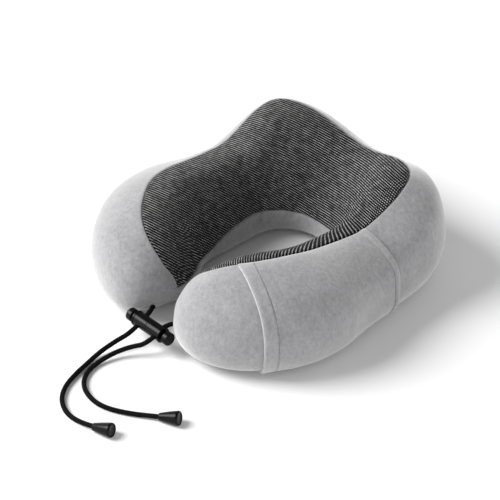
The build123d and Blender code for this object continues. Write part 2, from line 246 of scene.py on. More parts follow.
def velour_material(name, light, dark, tint=(1.0, 0.985, 1.01), sheen=0.9):
    """Short plush pile: soft brushed patches, fine mottling and a bright sheen."""
    mat, tree, shader = new_material(
        name, Roughness=0.95, Specular_IOR_Level=0.12, Sheen_Weight=sheen, Sheen_Roughness=0.5
    )
    shader.inputs["Sheen Tint"].default_value = (1, 1, 1, 1)
    patches = noise(tree, 60, 3, 0.6)
    brushed = noise(tree, 300, 4, 0.65, (1, 1, 0.6))
    fibres = noise(tree, 1300, 2, 0.6)
    mixed = plus(tree, times(tree, patches, 0.2), times(tree, brushed, 0.45))
    mixed = plus(tree, mixed, times(tree, fibres, 0.35))
    paint_by(tree, shader, mixed, [(0.34, grey(dark, tint)), (0.66, grey(light, tint))])
    soft = bump(tree, brushed, 0.0005, 0.5)
    fine = bump(tree, fibres, 0.00022, 0.7, soft)
    tree.links.new(fine, shader.inputs["Normal"])
    return mat


def plastic_material(name, value, rough, grain=900):
    """Moulded plastic or enamel with a fine grain and faint wear."""
    mat, tree, shader = new_material(name, Roughness=rough, Specular_IOR_Level=0.13)
    spots = noise(tree, grain, 3, 0.6)
    wear = noise(tree, 60, 2, 0.5)
    paint_by(tree, shader, wear, [(0.3, grey(value * 0.8)), (0.75, grey(value * 1.35))])
    tree.links.new(plus(tree, times(tree, spots, 0.16), rough - 0.08), shader.inputs["Roughness"])
    tree.links.new(bump(tree, spots, 0.00004, 0.5), shader.inputs["Normal"])
    return mat


def foam_material():
    """Open cells, small and even, painted darker towards each cell's middle as shade in its hollow."""
    mat, tree, shader = new_material("memory_foam", Roughness=0.95)
    cells = tree.nodes.new("ShaderNodeTexVoronoi")
    cells.inputs["Scale"].default_value = 900
    where = tree.nodes.new("ShaderNodeTexCoord")
    tree.links.new(where.outputs["Object"], cells.inputs["Vector"])
    # The colour darkens where the bump sinks: painted shade in the cells' hollows.
    stops = [(0.0, (0.55, 0.5, 0.36, 1)), (0.7, (0.82, 0.79, 0.66, 1))]
    paint_by(tree, shader, cells.outputs["Distance"], stops)
    tree.links.new(bump(tree, cells.outputs["Distance"], 0.0004), shader.inputs["Normal"])
    return mat


def steel_material():
    """Drawn wire, with faint lines along it."""
    mat, tree, shader = new_material("spring_steel", Roughness=0.28, Metallic=1.0)
    lines = noise(tree, 1200, 2, 0.5, (0.2, 1, 1))
    paint_by(tree, shader, lines, [(0.2, grey(0.45)), (0.8, grey(0.62))])
    tree.links.new(bump(tree, lines, 0.00002), shader.inputs["Normal"])
    return mat


RIB = 2.05  # pitch of the knit's ribs, mm
DASH = 1.5  # pitch of the stitches along a rib, mm


def cloth_uv(tree):
    where = tree.nodes.new("ShaderNodeUVMap")
    where.uv_map = "cloth"
    split = tree.nodes.new("ShaderNodeSeparateXYZ")
    tree.links.new(where.outputs[0], split.inputs[0])
    return split.outputs[0], split.outputs[1]


def knit_material():
    """Dark ribs with a row of light stitches on each. u counts stitches along a rib, and v counts ribs."""
    mat, tree, shader = new_material(
        "ribbed_knit", Roughness=0.8, Specular_IOR_Level=0.12, Sheen_Weight=0.04, Sheen_Roughness=0.4
    )
    u, v = cloth_uv(tree)
    wobble = math_node(tree, "SUBTRACT", noise(tree, 240, 2, 0.5), 0.5)
    v = plus(tree, v, times(tree, wobble, 0.25))
    row = math_node(tree, "FLOOR", v)
    rib = swell(tree, v)
    dash = swell(tree, plus(tree, u, times(tree, row, 0.5)))
    dash = plus(tree, times(tree, dash, 0.6), 0.4)
    light = times(tree, math_node(tree, "POWER", rib, 1.7), dash)
    amount = plus(tree, times(tree, noise(tree, 170, 3, 0.6), 0.9), 0.35)
    light = math_node(tree, "MULTIPLY", light, amount, clamp=True)
    stops = [(0.0, grey(0.002)), (0.27, grey(0.006)), (0.5, grey(0.15)), (0.8, grey(0.62))]
    paint_by(tree, shader, light, stops)
    height = times(tree, rib, plus(tree, times(tree, dash, 0.5), 0.5))
    tree.links.new(bump(tree, height, 0.0006, 0.8), shader.inputs["Normal"])
    return mat


def cord_material():
    """Matt black yarn."""
    mat, tree, shader = new_material("black_braid", Roughness=0.8, Specular_IOR_Level=0.08)
    fibres = noise(tree, 2400, 2, 0.6)
    patch = noise(tree, 300, 2, 0.6)
    mixed = times(tree, plus(tree, fibres, patch), 0.5)
    paint_by(tree, shader, mixed, [(0.35, grey(0.001)), (0.7, grey(0.006))])
    tree.links.new(bump(tree, fibres, 0.0001, 0.6), shader.inputs["Normal"])
    return mat


VELOUR = velour_material("velour_grey", 0.33, 0.18)
# The hems are the velour painted a little lighter: a painted highlight for their rolled edges catching the
# light.
HEM = velour_material("velour_hem", 0.35, 0.20)
BASE = velour_material("base_cloth", 0.36, 0.25, sheen=0.2)
LINER = velour_material("liner_jersey", 0.72, 0.66, (1, 1, 0.98), 0.1)
ELASTIC = velour_material("elastic_white", 0.62, 0.5, (1, 1, 1), 0.1)
THREAD = velour_material("thread_grey", 0.34, 0.26, sheen=0.1)
PLASTIC = plastic_material("black_plastic", 0.002, 0.24)
ZIP_METAL = plastic_material("zip_enamel", 0.16, 0.3, 1400)
ZIP_COIL = plastic_material("zip_nylon", 0.2, 0.38)
KNIT = knit_material()
CORD = cord_material()
FOAM = foam_material()
STEEL = steel_material()
TAPE = velour_material("zip_tape_woven", 0.34, 0.25, sheen=0.05)

# ---------------------------------------------------------------- camera
AZIMUTH, ELEVATION = math.radians(46.56), math.radians(36.33)  # as fitted to the photo
CAMERA_DISTANCE = 2.663
CAMERA_TARGET = Vector((0, 0, 0.05))
SENSOR, LENS = 36, 213.084  # mm
camera = link(bpy.data.objects.new("camera", bpy.data.cameras.new("camera")))
back = Vector(
    (
        math.sin(AZIMUTH) * math.cos(ELEVATION),
        -math.cos(AZIMUTH) * math.cos(ELEVATION),
        math.sin(ELEVATION),
    )
)
camera.location = CAMERA_TARGET + back * CAMERA_DISTANCE
camera.rotation_euler = (-back).to_track_quat("-Z", "Y").to_euler()
camera.data.sensor_width = SENSOR
camera.data.lens = LENS
camera.data.shift_x = -0.03652
camera.data.shift_y = -0.03908
camera.data.clip_end = 30
bpy.context.scene.camera = camera

# ---------------------------------------------------------------- cords
LOCK = Vector((1, -144, 18.5))  # the middle of the barrel
HOLE_X = 11.0  # from there to each cord's hole
CORD_RADIUS = 2.2
TILT = math.radians(25)  # of the holes
CORD_DOWN = Vector((0, -math.cos(TILT), -math.sin(TILT)))
BEHIND_LOCK, BELOW_LOCK = 16.8, 14.2  # route points on a hole's line, from its middle
BELL_SMALL, BELL_BIG, BELL_LENGTH = 3.6, 6.75, 19.0
BELL_TILT = math.atan((BELL_BIG - BELL_SMALL) / BELL_LENGTH)
BELLS = {
    "left": (Vector((56.4, -258.0, BELL_SMALL * math.cos(BELL_TILT))), 19.0),
    "right": (Vector((85.0, -208.5, BELL_SMALL * math.cos(BELL_TILT))), 27.4),
}


def bell_axis(heading):
    """A bell lies on its side, tipped so that its wide end also touches the floor."""
    turn = math.radians(heading)
    flat = Vector((math.cos(turn), math.sin(turn), 0))
    return flat * math.cos(BELL_TILT) + Vector((0, 0, math.sin(BELL_TILT)))


def through_lock(side):
    hole = LOCK + Vector((side * HOLE_X, 0, 0))
    return [hole - CORD_DOWN * BEHIND_LOCK, hole + CORD_DOWN * BELOW_LOCK]


def into_bell(name):
    mouth, heading = BELLS[name]
    axis = bell_axis(heading)
    return [mouth - axis * 4.5, mouth + axis * 13.7]


ROUTES = {
    "left": [
        (-25.5, -117.5, 14),
        *through_lock(-1),
        (-14, -171, 8.5),
        (-16.5, -187, 4),
        (-14, -203, 2.2),
        (-9.5, -221.5, 2.2),
        (-2.5, -240.5, 2.2),
        (10.5, -255.5, 2.2),
        (30, -263.5, 2.2),
        *into_bell("left"),
    ],
    "right": [
        (29, -116, 19),
        *through_lock(1),
        (1.5, -167.5, 9),
        (-5.5, -181, 5.5),
        (-8, -197, 2.6),
        (-5, -212.5, 2.2),
        (4.5, -225.5, 2.2),
        (20, -233.5, 2.2),
        (40, -234.5, 2.2),
        (62, -224, 2.2),
        *into_bell("right"),
    ],
}


def nurbs_path(route):
    """The smooth line that a route's points control, in millimetres."""
    curve = bpy.data.curves.new("route", "CURVE")
    curve.dimensions = "3D"
    curve.resolution_u = 24
    spline = curve.splines.new("NURBS")
    spline.points.add(len(route) - 1)
    for point, corner in zip(spline.points, route):
        point.co = (*(c * MM for c in corner), 1)
    spline.order_u = 3
    spline.use_endpoint_u = True
    obj = bpy.data.objects.new("route", curve)
    mesh = bpy.data.meshes.new_from_object(obj)
    line = np.array([v.co for v in mesh.vertices], float) / MM
    bpy.data.objects.remove(obj)
    return line


def evenly(line, step):
    """The same line with its points a set distance apart, and the distance to each."""
    lengths = np.concatenate([[0], np.cumsum(np.linalg.norm(np.diff(line, axis=0), axis=1))])
    at = np.linspace(0, lengths[-1], max(2, int(lengths[-1] / step)))
    return np.stack([np.interp(at, lengths, line[:, k]) for k in range(3)], 1), at


STRANDS = 8  # in each direction round the braid
LAY_LENGTH = 22.0  # of one turn of a strand
RELIEF = 0.28  # of a strand over the next
BRAID_STEP, BRAID_SIDES = 0.4, 32


def braid(name, line):
    """A braided cord whose strands go over and under each other."""
    path, at = evenly(line, BRAID_STEP)
    along = np.gradient(path, axis=0)
    along /= np.linalg.norm(along, axis=1)[:, None]
    side = np.zeros_like(path)
    first = np.cross(along[0], (0, 0, 1.0))
    side[0] = first / np.linalg.norm(first)
    for k in range(1, len(path)):
        carried = side[k - 1] - along[k] * (side[k - 1] @ along[k])
        side[k] = carried / np.linalg.norm(carried)
    up = np.cross(along, side)
    turn = np.linspace(0, 2 * np.pi, BRAID_SIDES, endpoint=False)
    a = STRANDS * turn[None] / (2 * np.pi) + STRANDS * at[:, None] / LAY_LENGTH
    b = STRANDS * turn[None] / (2 * np.pi) - STRANDS * at[:, None] / LAY_LENGTH
    over = (np.floor(a) + np.floor(b)) % 2 == 0
    hump = np.where(over, np.sin(np.pi * (a % 1)), np.sin(np.pi * (b % 1)))
    radius = CORD_RADIUS - RELIEF + RELIEF * hump**0.7
    points = path[:, None] + circle(side, up, BRAID_SIDES) * radius[:, :, None]
    points[:, :, 2] = np.maximum(points[:, :, 2], 0.02)
    return mesh_object(name, points, tube_faces(len(path), BRAID_SIDES), CORD), path


# outlines along a bell's axis, from its small end: (distance, radius)
BELL_OUTLINE = [
    (6.0, 2.35), (0.3, 2.35), (0.0, 2.6), (0.0, 3.1), (0.25, 3.45), (0.8, 3.6), (2.2, 3.85),
    (5.0, 4.5), (9.0, 5.3), (13.0, 5.98), (15.4, 6.38), (16.9, 6.6), (17.8, 6.58),
    (18.45, 6.32), (18.85, 5.95), (19.0, 5.6), (18.9, 5.4), (18.4, 5.3), (11.5, 5.25), (11.4, 2.6),
]
DISC_OUTLINE = [
    (17.1, 3.0), (17.1, 5.1), (18.2, 5.15), (18.5, 4.9), (18.5, 4.3), (18.35, 4.1), (18.3, 1.0),
]
ANCHOR_SIZE, KNOT_SIZE = 4.0, 3.1  # the knot inside a tip, and the one inside a bell
KNOT_OPEN = 0.12  # radians left open at a knot's ends, where the cord goes in


def cord_knot(name, place, direction, size):
    """A round stopper knot with a few soft ridges."""
    angles = np.linspace(KNOT_OPEN, math.pi - KNOT_OPEN, 18)
    outline = [
        (-size * math.cos(a), size * math.sin(a) * (1 + 0.06 * math.cos(6 * a))) for a in angles
    ]
    return lathe(name, place, direction, outline, CORD, 24)


for name, route in ROUTES.items():
    body, path = braid(f"cord_{name}", nurbs_path(route))
    mouth, heading = BELLS[name]
    axis = bell_axis(heading)
    bell = lathe(f"bell_{name}", mouth, axis, BELL_OUTLINE, PLASTIC)
    plug = lathe(f"bell_disc_{name}", mouth, axis, DISC_OUTLINE, PLASTIC)
    for piece, node in ((bell, f"cord_bell_{name}"), (plug, f"bell_plug_{name}")):
        sharpen_edges(piece)
        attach(piece, "pillow")
        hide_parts(node)
    anchor = cord_knot(f"cord_knot_inner_{name}", path[0], path[3] - path[0], ANCHOR_SIZE)
    knot = cord_knot(f"cord_knot_outer_{name}", path[-1], axis, KNOT_SIZE)
    for piece in (body, anchor, knot):
        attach(piece, "pillow")
    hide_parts(f"drawcord_{name}")

# ---------------------------------------------------------------- shape of the pillow
RING_RADIUS, ARM_STRAIGHT, ARM_END = 85.0, 44.0, 298.0
DOME_START, DOME_POWER, DOME_HEIGHT = 240.0, 2.5, 0.4
TIP_RADIUS = 46.0  # the section turns round towards the very end of a tip
INNER = 43.0  # from the ring's path to the foot of the neck hole
SINK, SHIFT_Y = 1.0, -2.4
QUARTER = RING_RADIUS * math.pi / 2
# path length, height, outer half width, lean of the crest, hollow of the inner slope
PROFILE = np.array(
    [
        (0, 86, 40, 9, 0),
        (71, 110, 59, 9, 0),
        (124, 80, 41, -13, 2.0),
        (225, 92, 55, -9, 1.5),
        (298, 85, 52, 5, 0),
    ],
    float,
)


def eased(s, column):
    """A column of the profile at path lengths s, smooth between its rows."""
    distance = np.abs(s)
    out = np.full(distance.shape, PROFILE[-1, column])
    for near, far in zip(PROFILE, PROFILE[1:]):
        share = (distance - near[0]) / (far[0] - near[0])
        blend = (1 - np.cos(np.pi * share)) / 2
        inside = (distance >= near[0]) & (distance <= far[0])
        out = np.where(inside, near[column] + (far[column] - near[column]) * blend, out)
    return out


def dome_scale(s):
    """How far the section has drawn in at path lengths s, to nothing at the end of a tip."""
    share = np.clip((np.abs(s) - DOME_START) / (ARM_END - DOME_START), 0, 1)
    return (1 - share**DOME_POWER) ** (1 / DOME_POWER)


def surface(s, t):
    """Points of the pillow at path lengths s and places t round the section, in millimetres."""
    s, t = np.broadcast_arrays(np.asarray(s, float), np.asarray(t, float))
    height, outer, crest, hollow = (eased(s, column) for column in (1, 2, 3, 4))
    run = INNER + crest
    flat = np.zeros_like(height)
    corners = [  # of the section's closed B-spline, from under the path outward and over the crest
        (flat - 0.10 * INNER, flat),
        (0.55 * outer, flat),
        (0.98 * outer, 0.10 * height),
        (1.07 * outer, 0.45 * height),
        (0.92 * outer, 0.88 * height),
        (crest, 1.10 * height),
        (crest - 0.48 * run, 0.86 * height + hollow),
        (flat - 0.80 * INNER, 0.47 * height + hollow),
        (flat - 1.08 * INNER, 0.20 * height),
        (flat - 0.80 * INNER, flat),
    ]
    count = len(corners)
    corners = np.array(corners)
    step = (t % 1) * count
    first = step.astype(int)
    f = step - first
    weights = (
        (1 - f) ** 3 / 6,
        (3 * f**3 - 6 * f**2 + 4) / 6,
        (-3 * f**3 + 3 * f**2 + 3 * f + 1) / 6,
        f**3 / 6,
    )
    point = np.zeros((2,) + s.shape)
    for offset, weight in zip((-1, 0, 1, 2), weights):
        which = (first + offset) % count
        for axis in (0, 1):
            point[axis] += weight * np.take_along_axis(corners[:, axis], which[None], 0)[0]
    scale = dome_scale(s)
    middle_u, middle_z = (outer - INNER) / 2, DOME_HEIGHT * height
    from_u, from_z = point[0] - middle_u, point[1] - middle_z
    roundness = (1 - scale) ** 3
    scale = scale * (1 + roundness * (TIP_RADIUS / np.hypot(from_u, from_z) - 1))
    out = middle_u + from_u * scale
    z = middle_z + from_z * scale - SINK
    side = np.where(s >= 0, 1.0, -1.0)
    distance = np.abs(s)
    turn = np.where(
        distance < QUARTER,
        distance / RING_RADIUS,
        np.where(
            distance < QUARTER + ARM_STRAIGHT,
            np.pi / 2,
            np.pi / 2 + (distance - QUARTER - ARM_STRAIGHT) / RING_RADIUS,
        ),
    )
    centre = np.where(
        distance < QUARTER,
        ARM_STRAIGHT / 2,
        np.where(
            distance < QUARTER + ARM_STRAIGHT,
            ARM_STRAIGHT / 2 - (distance - QUARTER),
            -ARM_STRAIGHT / 2,
        ),
    )
    reach = RING_RADIUS + out
    return np.stack(
        [side * np.sin(turn) * reach, np.cos(turn) * reach + centre + SHIFT_Y, z], -1
    )


def surface_normal(s, t):
    """Outward unit normals of the pillow. At a tip's pole, those of the nearest ring are used."""
    ds, dt = 0.4, 0.002
    last = ARM_END - 1.5 * ds
    s = np.clip(s, -last, last)
    along = surface(s + ds, t) - surface(s - ds, t)
    around = surface(s, t + dt) - surface(s, t - dt)
    normal = np.cross(around, along)
    length = np.maximum(np.linalg.norm(normal, axis=-1, keepdims=True), 1e-9)
    return normal / length


def curve_through(points):
    """A smooth function through given (place, value) pairs, with no overshoot between them."""
    places, values = (np.array(v, float) for v in zip(*points))
    rates = np.diff(values) / np.diff(places)
    product, total = rates[:-1] * rates[1:], rates[:-1] + rates[1:]
    turning = product <= 0
    inner = np.where(turning, 0, 2 * product / np.where(turning, 1, total))
    slopes = np.concatenate([rates[:1], inner, rates[-1:]])

    def value(at):
        at = np.clip(at, places[0], places[-1])
        k = np.clip(np.searchsorted(places, at) - 1, 0, len(places) - 2)
        share = (at - places[k]) / (places[k + 1] - places[k])
        gap = places[k + 1] - places[k]
        h00 = 2 * share**3 - 3 * share**2 + 1
        h10 = share**3 - 2 * share**2 + share
        h01 = -2 * share**3 + 3 * share**2
        h11 = share**3 - share**2
        return (
            h00 * values[k]
            + h10 * gap * slopes[k]
            + h01 * values[k + 1]
            + h11 * gap * slopes[k + 1]
        )

    return value


# Places of the seams round the section, by path length.
# The crest seam sits further out on the left arm.
crest_seam = curve_through(
    [
        (-298, 0.768),
        (-296.8, 0.765),
        (-296.3, 0.66),
        (-295.6, 0.59),
        (-294.3, 0.543),
        (-292, 0.522),
        (-287, 0.504),
        (-276, 0.490),
        (-257, 0.480),
        (-194, 0.469),
        (-170, 0.456),
        (-147, 0.438),
        (-119, 0.428),
        (-104, 0.438),
        (-85, 0.456),
        (-71, 0.461),
        (-43, 0.474),
        (0, 0.479),
        (43, 0.474),
        (71, 0.461),
        (85, 0.464),
        (104, 0.471),
        (129, 0.48),
        (170, 0.491),
        (205, 0.498),
        (237, 0.494),
        (267, 0.50),
        (286, 0.512),
        (294.3, 0.56),
        (296.3, 0.66),
        (296.8, 0.765),
        (298, 0.768),
    ]
)
foot_seam = curve_through(
    [
        (-298, 0.768),
        (-290, 0.762),
        (-275, 0.756),
        (-258, 0.760),
        (-240, 0.774),
        (-220, 0.788),
        (-199, 0.792),
        (-180, 0.780),
        (-165, 0.758),
        (-151, 0.743),
        (-124, 0.733),
        (-106, 0.743),
        (-83, 0.765),
        (-59, 0.770),
        (-30, 0.762),
        (0, 0.758),
        (30, 0.762),
        (59, 0.770),
        (83, 0.765),
        (106, 0.743),
        (150, 0.741),
        (220, 0.760),
        (275, 0.752),
        (298, 0.768),
    ]
)


BASE_SEAM_INNER, BASE_SEAM_OUTER = 0.87, 0.152


def base_seam_inner(s):
    return np.full(np.shape(s), BASE_SEAM_INNER)


def base_seam_outer(s):
    return np.full(np.shape(s), BASE_SEAM_OUTER)


def base_seam_wrapped(s):
    """The outer base seam again, a whole turn further on."""
    return np.full(np.shape(s), 1 + BASE_SEAM_OUTER)


DOME_ARC = 92.0  # length over a tip's dome
POLE_GAP = 1e-5  # keeps the last ring from being a point


def arm_places(step, first=-ARM_END, last=ARM_END):
    """Path lengths spaced evenly over the surface, closer together on the tips' domes."""
    straight = np.arange(-DOME_START, DOME_START + 0.01, 2 * DOME_START / round(2 * DOME_START / step))
    around = np.linspace(0, np.pi / 2, int(DOME_ARC / step))[1:-1]
    dome = DOME_START + (ARM_END - DOME_START) * np.sin(around) ** (2 / DOME_POWER)
    places = np.concatenate([-dome[::-1], straight, dome])
    margin = 0.0 if last >= ARM_END else step * 0.4
    places = places[(places > first + margin) & (places < last - margin)]
    pole = ARM_END - POLE_GAP
    return np.concatenate([[max(first, -pole)], places, [min(last, pole)]])


ROLL = np.array([0.0, 0.25, 0.6, 1.1, 1.7, 2.5, 3.6, 5.0])  # rows next to a seam, in mm from it
ROLL_RADIUS = 2.4
SEAM_TUCK, TUCK_EDGE = 3.5, 0.05  # cloth turned in behind a seam, and how near to it that starts
FULL_WIDTH = 25.0  # a panel narrower than this has shallower seams
POLE_FADE = 3.5  # path length over which a seam's relief ends at a tip's pole
GATHER_REACH = 6.0  # how far gathers run from a seam
WAVES, GATHERS = 9, 7  # sines added up in each
FOAM_WAVE = 11  # seed of the foam's own unevenness, the same under every cloth


def rolled(distance, radius=ROLL_RADIUS):
    """How far a cloth edge has turned inward this close to its seam."""
    near = np.clip(radius - distance, 0, radius)
    return radius - np.sqrt(radius**2 - near**2)


def soft_wave(s, t):
    """A slow smooth unevenness over the foam, between -1 and 1."""
    local = np.random.default_rng(FOAM_WAVE)
    total = np.zeros(np.broadcast(s, t).shape)
    for _ in range(WAVES):
        ks, kt = local.uniform(0.02, 0.07), local.uniform(4, 13)
        total = total + np.sin(ks * s + kt * t * 2 * np.pi + local.uniform(0, 6.28)) / WAVES
    return total


def puckers(seed, s):
    """Small gathers along a seam, 7 to 19 mm from one to the next."""
    local = np.random.default_rng(seed)
    total = np.zeros(np.shape(s))
    for _ in range(GATHERS):
        total = total + np.sin(s * 2 * np.pi / local.uniform(7, 19) + local.uniform(0, 6.28))
    return total / GATHERS


def lengths_along(lines):
    """Distance from the start of each row of points to each point in it."""
    steps = np.linalg.norm(np.diff(lines, axis=1), axis=-1)
    return np.concatenate([np.zeros((len(lines), 1)), np.cumsum(steps, 1)], 1)


def panel_grid(places, first_seam, last_seam, rows):
    """Path lengths, places round the section, and distances in millimetres to both seams."""
    s = places[:, None]
    start, end = first_seam(places)[:, None], last_seam(places)[:, None]
    middle = np.linspace(0, 1, 60)[None]
    lengths = lengths_along(surface(s, start + (end - start) * middle))
    total = lengths[:, -1:]
    limit = np.minimum(1.0, total / (ROLL[-1] * 3))
    near = ROLL[None] * limit
    inner = np.linspace(0, 1, rows + 2)[1:-1][None]
    between = near[:, -1:] + (total - 2 * near[:, -1:]) * inner
    distance = np.concatenate([near, between, (total - near)[:, ::-1]], 1)
    share = np.stack([np.interp(d, l, middle[0]) for d, l in zip(distance, lengths)])
    t = start + (end - start) * share
    return np.broadcast_to(s, t.shape), t, distance, total - distance


def panel_points(s, t, to_first, to_last, seed, wave=0.5, gather=0.22):
    """Cloth over the foam, rolled in and gathered at both seams."""
    points, normals = surface(s, t), surface_normal(s, t)
    pole = np.clip((ARM_END - np.abs(s)) / POLE_FADE, 0, 1) ** 1.5
    size = np.minimum(1.0, (to_first + to_last) / FULL_WIDTH) * pole
    inward, ripple = 0, 0
    for number, distance in enumerate((to_first, to_last)):
        inward = inward + rolled(distance) + SEAM_TUCK * np.maximum(0, 1 - distance / TUCK_EDGE)
        ripple = ripple + puckers(seed + number, s) * np.exp(-distance / GATHER_REACH)
    move = (wave * soft_wave(s, t) + gather * ripple - inward) * size
    return points + normals * move[..., None]


FLOOR_SOFTNESS = 0.5


def settle(points):
    """Presses what would be under the floor flat onto it."""
    points[..., 2] = FLOOR_SOFTNESS * np.logaddexp(0, points[..., 2] / FLOOR_SOFTNESS)
    return points


def add_thickness(obj, millimetres, offset=-1):
    """Cloth thickness, added on the inner side with an offset of -1."""
    solid = obj.modifiers.new("cloth", "SOLIDIFY")
    solid.thickness = millimetres * MM
    solid.offset = offset
    solid.use_even_offset = False
    return obj


def dress(obj, slot, *stands_for, fill=None):
    """Attaches a piece to what it rides on and hides the parts it stands for. slot and fill are not used.
    """
    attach(obj, "pillow")
    if stands_for:
        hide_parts(*stands_for)


# ---------------------------------------------------------------- foam and liner
# The zip lies on an upright cylinder, which the foam and the cloth make room for.
ZIP_RADIUS, ZIP_FACE_Y, ZIP_Z, ZIP_HALF = 500.0, 140.0, 20.0, 65.0
ZIP_CENTRE_Y = ZIP_FACE_Y - ZIP_RADIUS
BACK_Y = 60.0  # the zip's side of the pillow is past this
ZIP_HOLLOW = 14.0  # half height of the hollow behind the zip
CORE_SIDES = 72


def core(name, inset, zip_room, material):
    """The pillow's shape drawn in by inset, and pushed in behind the zip to leave zip_room."""
    places = arm_places(4.0, -ARM_END + inset, ARM_END - inset)
    points = surface(places[:, None], np.linspace(0, 1, CORE_SIDES, endpoint=False)[None])
    middle = points.mean(axis=1, keepdims=True)
    points = middle + (points - middle) * (1 - inset / TIP_RADIUS)
    points[..., 2] = np.maximum(points[..., 2], inset * 0.8)
    reach = np.hypot(points[..., 0], points[..., 1] - ZIP_CENTRE_Y)
    near_zip = (points[..., 1] > BACK_Y) * np.exp(-(((points[..., 2] - ZIP_Z) / ZIP_HOLLOW) ** 4))
    points[..., 1] -= near_zip * np.maximum(0, reach - ZIP_RADIUS + zip_room)
    return mesh_object(name, points, tube_faces(len(places), CORE_SIDES), material)


dress(core("foam_core_block", 7.5, 6.0, FOAM), "foam", "foam_core", fill=1.0)
dress(core("core_liner_sack", 6.3, 5.0, LINER), "liner_jersey", "core_liner", fill=0.9)

# ---------------------------------------------------------------- knit panel
RIB_RELIEF = 0.22
KNIT_END = 296.7  # path length where the knit comes to a point on each tip


def cloth_coordinates(points):
    """Distances over the cloth, along its ribs and across them.

    The ribs lie in tilted planes, bent on the arms.
    """
    x, y, z = np.moveaxis(points, -1, 0)
    along = x - 0.5 * np.tanh(x / 40) * (y - z - 35)
    right, left = np.maximum(x, 0) ** 2, np.minimum(x, 0) ** 2
    front = 4 * np.logaddexp(0, (35 - y) / 4)
    across = 0.72 * y + 0.70 * z + right * (0.001 + 3e-5 * front) + left * (0.0004 + 1.6e-5 * (z - 50))
    return along, across


places = arm_places(0.8, -KNIT_END, KNIT_END)
s, t, to_crest, to_foot = panel_grid(places, crest_seam, foot_seam, 96)
points = panel_points(s, t, to_crest, to_foot, seed=21, gather=0.3)
u, v = cloth_coordinates(surface(s, t))
rib = 0.5 - 0.5 * np.cos(2 * np.pi * v / RIB)
size = np.minimum(1.0, (to_crest + to_foot) / FULL_WIDTH)
points = points + surface_normal(s, t) * (RIB_RELIEF * rib * size)[..., None]
stitches = np.stack([u / DASH, v / RIB], -1)
knit = mesh_object("knit_panel", points, grid_faces(*s.shape), KNIT, uv=stitches)
dress(knit, "ribbed_knit", "mesh_panel", fill=0.9)

# ---------------------------------------------------------------- inner band and base
s, t, to_foot, to_base = panel_grid(arm_places(2.2), foot_seam, base_seam_inner, 8)
points = settle(panel_points(s, t, to_foot, to_base, seed=31))
band = mesh_object("inner_band", points, grid_faces(*s.shape), VELOUR)
dress(add_thickness(band, 1.5), "velour", "inner_panel", fill=0.9)

s, t, to_inner, to_outer = panel_grid(arm_places(2.6), base_seam_inner, base_seam_wrapped, 28)
points = settle(panel_points(s, t, to_inner, to_outer, seed=41, wave=0.2))
base = mesh_object("base_panel", points, grid_faces(*s.shape), BASE)
dress(add_thickness(base, 1.2), "base_cloth", "bottom_panel", fill=0.9)

# ---------------------------------------------------------------- outer velour, with the zip's slit
SLIT = 3.6  # half height of the slit
SLIT_EDGE = 2.2  # height over which the cloth turns in to the slit
OVER_ZIP = 0.35  # how far the cloth stands out from the zip's cylinder there
OUTER = {"seed": 51, "gather": 0.16}  # the outer cloth's gathers, which the pocket follows

s, t, to_base, to_crest = panel_grid(arm_places(1.7), base_seam_outer, crest_seam, 84)
points = settle(panel_points(s, t, to_base, to_crest, **OUTER))
turn = np.arctan2(points[..., 0], points[..., 1] - ZIP_CENTRE_Y)
arc = turn * ZIP_RADIUS
depth = np.hypot(points[..., 0], points[..., 1] - ZIP_CENTRE_Y) - ZIP_RADIUS
at_back = points[..., 1] > BACK_Y
height = points[..., 2] - ZIP_Z
along_slit = np.clip((ZIP_HALF + 4 - np.abs(arc)) / 5, 0, 1) * at_back
fold = np.exp(-((np.maximum(0, np.abs(height) - SLIT) / SLIT_EDGE) ** 2))
pull_in = along_slit * fold * np.maximum(0, depth - OVER_ZIP)
direction = np.stack([np.sin(turn), np.cos(turn), np.zeros_like(turn)], -1)
points = points - direction * pull_in[..., None]
inside = (at_back & (np.abs(height) < SLIT) & (np.abs(arc) < ZIP_HALF)).ravel()
keep = [face for face in grid_faces(*s.shape) if not all(inside[corner] for corner in face)]
outer = mesh_object("outer_velour", points, keep, VELOUR)
dress(add_thickness(outer, 1.6), "velour", "outer_panel", fill=0.9)

# ---------------------------------------------------------------- pocket on the right arm
FRONT_PLANE = (np.array([61.0, -93.0]), np.array([112.0, -111.0]))
REAR_PLANE = (np.array([86.0, 34.0]), np.array([126.0, 40.0]))
POCKET_ROLL = 1.2  # radius of the pocket's own cloth edges
POCKET_CLEAR = 2.6  # no plain rows this close to them


def plane_crossing(plane, share, low, high, offset=0.0):
    """Path length at which the outer panel meets an upright plane, for each share of its width."""
    s = np.linspace(low, high, 160)[:, None]
    start, end = base_seam_outer(s[:, 0])[:, None], crest_seam(s[:, 0])[:, None]
    place = surface(s, start + (end - start) * share[None])[..., :2]
    along = plane[1] - plane[0]
    normal = np.array([-along[1], along[0]]) / np.linalg.norm(along)
    gap = (place - plane[0]) @ normal - offset
    if gap[0, 0] > gap[-1, 0]:
        gap = -gap
    return np.array([np.interp(0, gap[:, k], s[:, 0]) for k in range(gap.shape[1])])


